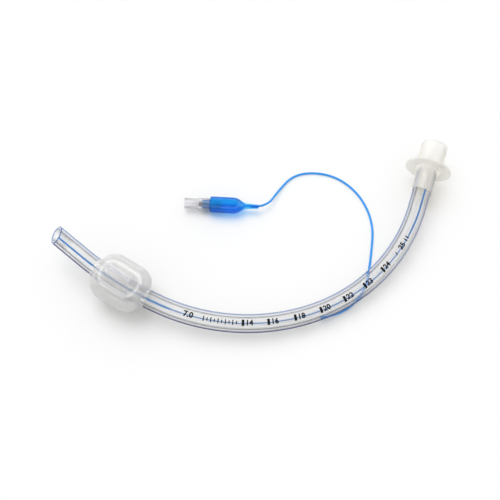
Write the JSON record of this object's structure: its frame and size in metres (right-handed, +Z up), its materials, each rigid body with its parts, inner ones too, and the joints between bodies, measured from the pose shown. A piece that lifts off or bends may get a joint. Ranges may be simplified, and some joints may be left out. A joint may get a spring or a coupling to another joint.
{
  "type": "cuffed endotracheal tube",
  "caption": "Curved breathing tube with a bevelled tip, an inflatable cuff, a tapered machine connector and an inflation line with pilot balloon and syringe valve.",
  "frame": {"origin": "middle of the box round the tube, cuff and connector, on the table they lie on", "axes": "+X along the length of the lying tube from the bevelled tip towards the connector, +Z up from the table"},
  "size_m": [0.2236, 0.1147, 0.0278],
  "materials": {
    "clear_tube": "smooth clear soft vinyl, faintly grey-lilac",
    "stripe": "blue filled vinyl set in the tube's wall",
    "cuff_film": "thin milky film, inflated",
    "connector_plastic": "moulded ivory-white hard plastic, slightly see-through",
    "line_blue": "azure soft vinyl",
    "balloon_blue": "see-through blue film",
    "valve_clear": "clear moulded hard plastic",
    "valve_white": "moulded plastic",
    "seal_rubber": "moulded rubber",
    "spring_steel": "drawn wire"
  },
  "bodies": {
    "root": {"tube_shaft": "clear_tube", "xray_stripe": "stripe", "channel_plug": "clear_tube", "cuff": "cuff_film", "connector": "connector_plastic", "inflation_line": "line_blue", "pilot_balloon": "balloon_blue", "valve_housing": "valve_clear", "valve_spring": "spring_steel", "spring_retainer": "valve_white"},
    "valve_stem": {"valve_stem": "valve_white", "valve_seal": "seal_rubber", "spring_cap": "valve_white"}
  },
  "joints": [
    {"name": "valve_press", "type": "slide", "parent": "root", "child": "valve_stem", "axis": [0.9982, -0.0593, 0], "range_m": [0, 0.0015], "stiffness_N_per_m": 400, "deforming": ["valve_spring"]}
  ]
}
